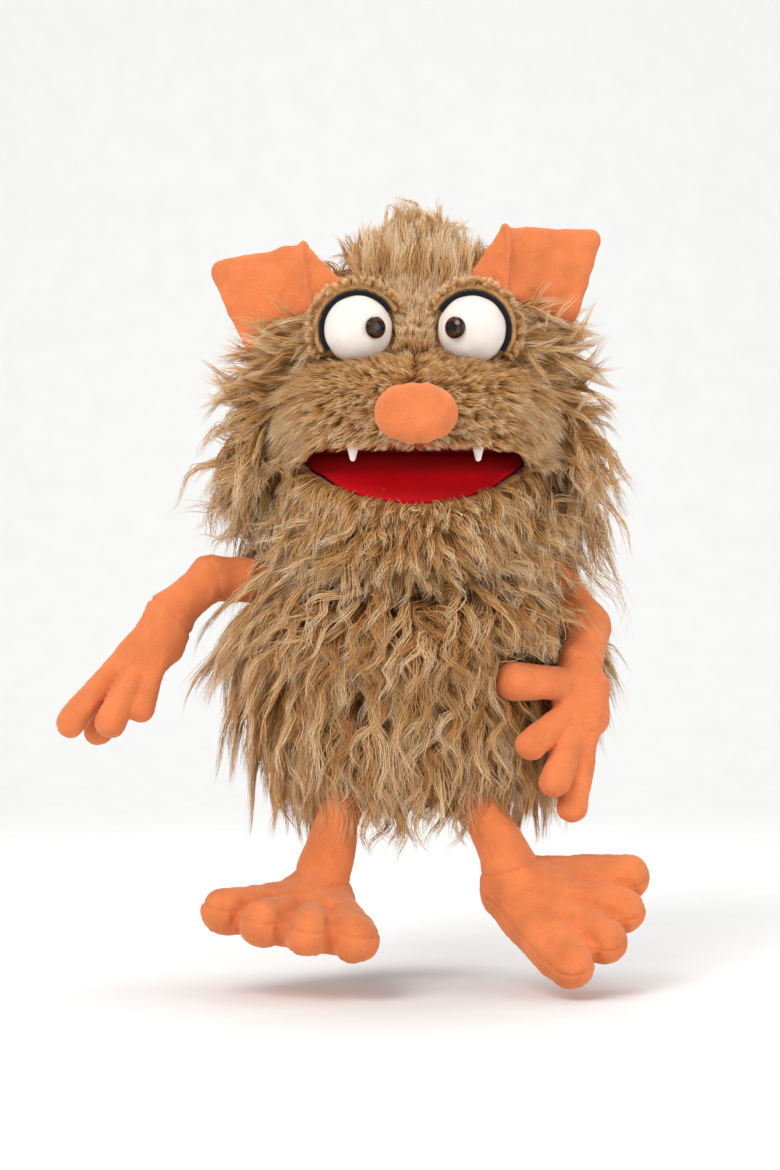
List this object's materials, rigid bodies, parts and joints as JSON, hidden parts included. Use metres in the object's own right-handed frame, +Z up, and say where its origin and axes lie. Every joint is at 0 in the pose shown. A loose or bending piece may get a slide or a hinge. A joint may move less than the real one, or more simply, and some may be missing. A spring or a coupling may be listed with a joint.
{
  "type": "moving mouth hand puppet",
  "caption": "Shaggy fur hand puppet with a hand-worked mouth, padded velour ears, nose, arms and legs, and a round hand hole in its hem.",
  "frame": {"origin": "centre of the hand hole, on the lower rim of the hem band", "axes": "+Z up through the body, -Y the way the puppet faces, +X to the right as a viewer in front sees it"},
  "size_m": [0.3089, 0.2, 0.4009],
  "materials": {
    "long_fur": "matte",
    "short_fur": "matte",
    "velour": "matte",
    "red_felt": "matte",
    "white_felt": "matte",
    "cotton": "matte",
    "wadding": "matte",
    "board": "matte",
    "piping": "matte",
    "pupil_plastic": "gloss",
    "washer_plastic": "satin"
  },
  "bodies": {
    "body": {"body_fur": "long_fur", "body_lining": "cotton", "hem_band": "cotton"},
    "neck": {"neck_gusset": "cotton"},
    "head": {"head_fur": "long_fur", "head_foam": "wadding", "crown_tuft": "short_fur", "muzzle_fur": "short_fur", "muzzle_wadding": "wadding", "nose_cover": "velour", "nose_wadding": "wadding", "eye_left": "white_felt", "eye_right": "white_felt", "eye_piping_left": "piping", "eye_piping_right": "piping", "eyelid_left": "short_fur", "eyelid_right": "short_fur", "pupil_left": "pupil_plastic", "pupil_right": "pupil_plastic", "pupil_washer_left": "washer_plastic", "pupil_washer_right": "washer_plastic", "mouth_lining_upper": "red_felt", "mouth_board_upper": "board", "mouth_fold": "red_felt", "finger_pocket": "cotton", "fang_left": "white_felt", "fang_right": "white_felt"},
    "jaw": {"jaw_fur": "long_fur", "jaw_padding": "wadding", "mouth_lining_lower": "red_felt", "mouth_board_lower": "board", "thumb_pocket": "cotton"},
    "ear_left": {"ear_front_left": "velour", "ear_back_left": "velour"},
    "upper_arm_left": {"upper_arm_left": "velour", "upper_arm_wadding_left": "wadding"},
    "forearm_left": {"forearm_left": "velour", "forearm_wadding_left": "wadding"},
    "hand_left": {"hand_left": "velour", "hand_wadding_left": "wadding"},
    "leg_left": {"leg_left": "velour", "leg_wadding_left": "wadding"},
    "foot_left": {"foot_upper_left": "velour", "foot_wadding_left": "wadding", "foot_sole_left": "velour"},
    "ear_right": {"ear_front_right": "velour", "ear_back_right": "velour"},
    "upper_arm_right": {"upper_arm_right": "velour", "upper_arm_wadding_right": "wadding"},
    "forearm_right": {"forearm_right": "velour", "forearm_wadding_right": "wadding"},
    "hand_right": {"hand_right": "velour", "hand_wadding_right": "wadding"},
    "leg_right": {"leg_right": "velour", "leg_wadding_right": "wadding"},
    "foot_right": {"foot_upper_right": "velour", "foot_wadding_right": "wadding", "foot_sole_right": "velour"}
  },
  "joints": [
    {"name": "head_turn", "type": "hinge", "parent": "body", "child": "neck", "pos_m": [0, 0, 0.104], "axis": [0, 0, 1], "range_deg": [-20, 20], "stiffness_Nm_per_rad": 0.3},
    {"name": "head_nod", "type": "hinge", "parent": "neck", "child": "head", "pos_m": [0, 0, 0.112], "axis": [1, 0, 0], "range_deg": [-10, 6], "stiffness_Nm_per_rad": 1, "springref_deg": -0.49},
    {"name": "jaw_open", "type": "hinge", "parent": "head", "child": "jaw", "pos_m": [0, -0.01, 0.177], "axis": [1, 0, 0], "range_deg": [-15, 12], "stiffness_Nm_per_rad": 0.1, "springref_deg": -5.6},
    {"name": "ear_flop_left", "type": "hinge", "parent": "head", "child": "ear_left", "pos_m": [-0.034, -0.04, 0.26], "axis": [-0.8186, 0.3308, -0.4695], "range_deg": [-15, 15], "stiffness_Nm_per_rad": 0.02},
    {"name": "ear_flop_right", "type": "hinge", "parent": "head", "child": "ear_right", "pos_m": [0.027, -0.039, 0.265], "axis": [0.8767, 0.3542, -0.3256], "range_deg": [-15, 15], "stiffness_Nm_per_rad": 0.02},
    {"name": "shoulder_left", "type": "hinge", "parent": "body", "child": "upper_arm_left", "pos_m": [-0.076, -0.002, 0.108], "axis": [0, 1, 0], "range_deg": [-30, 40], "stiffness_Nm_per_rad": 0.2, "springref_deg": 2.72},
    {"name": "elbow_left", "type": "hinge", "parent": "upper_arm_left", "child": "forearm_left", "pos_m": [-0.108, -0.01, 0.1105], "axis": [0, 1, 0], "range_deg": [-20, 35], "stiffness_Nm_per_rad": 0.1, "springref_deg": 2.85},
    {"name": "wrist_left", "type": "hinge", "parent": "forearm_left", "child": "hand_left", "pos_m": [-0.13, -0.019, 0.091], "axis": [0.8602, 0.1, -0.5001], "range_deg": [-30, 30], "stiffness_Nm_per_rad": 0.05, "springref_deg": -0.42},
    {"name": "shoulder_right", "type": "hinge", "parent": "body", "child": "upper_arm_right", "pos_m": [0.076, -0.004, 0.106], "axis": [0, -1, 0], "range_deg": [-3, 60], "stiffness_Nm_per_rad": 0.2, "springref_deg": 0.17},
    {"name": "elbow_right", "type": "hinge", "parent": "upper_arm_right", "child": "forearm_right", "pos_m": [0.092, -0.02, 0.084], "axis": [-1, 0, 0], "range_deg": [-5, 45], "stiffness_Nm_per_rad": 0.1, "springref_deg": 2.37},
    {"name": "wrist_right", "type": "hinge", "parent": "forearm_right", "child": "hand_right", "pos_m": [0.086, -0.04, 0.063], "axis": [-0.9476, 0.2494, -0.1995], "range_deg": [-10, 30], "stiffness_Nm_per_rad": 0.05, "springref_deg": 2.1},
    {"name": "hip_left", "type": "hinge", "parent": "body", "child": "leg_left", "pos_m": [-0.0395, -0.0465, -0.014], "axis": [-1, 0, 0], "range_deg": [-20, 35], "stiffness_Nm_per_rad": 0.1, "springref_deg": 3.82},
    {"name": "ankle_left", "type": "hinge", "parent": "leg_left", "child": "foot_left", "pos_m": [-0.049, -0.044, -0.048], "axis": [-0.9703, 0.2419, 0], "range_deg": [-20, 20], "stiffness_Nm_per_rad": 0.08, "springref_deg": 5.53},
    {"name": "hip_right", "type": "hinge", "parent": "body", "child": "leg_right", "pos_m": [0.038, -0.047, -0.014], "axis": [-1, 0, 0], "range_deg": [-20, 35], "stiffness_Nm_per_rad": 0.1, "springref_deg": 1.63},
    {"name": "ankle_right", "type": "hinge", "parent": "leg_right", "child": "foot_right", "pos_m": [0.05, -0.054, -0.042], "axis": [-0.4694, -0.6763, -0.5676], "range_deg": [-20, 20], "stiffness_Nm_per_rad": 0.08, "springref_deg": 3.86}
  ]
}
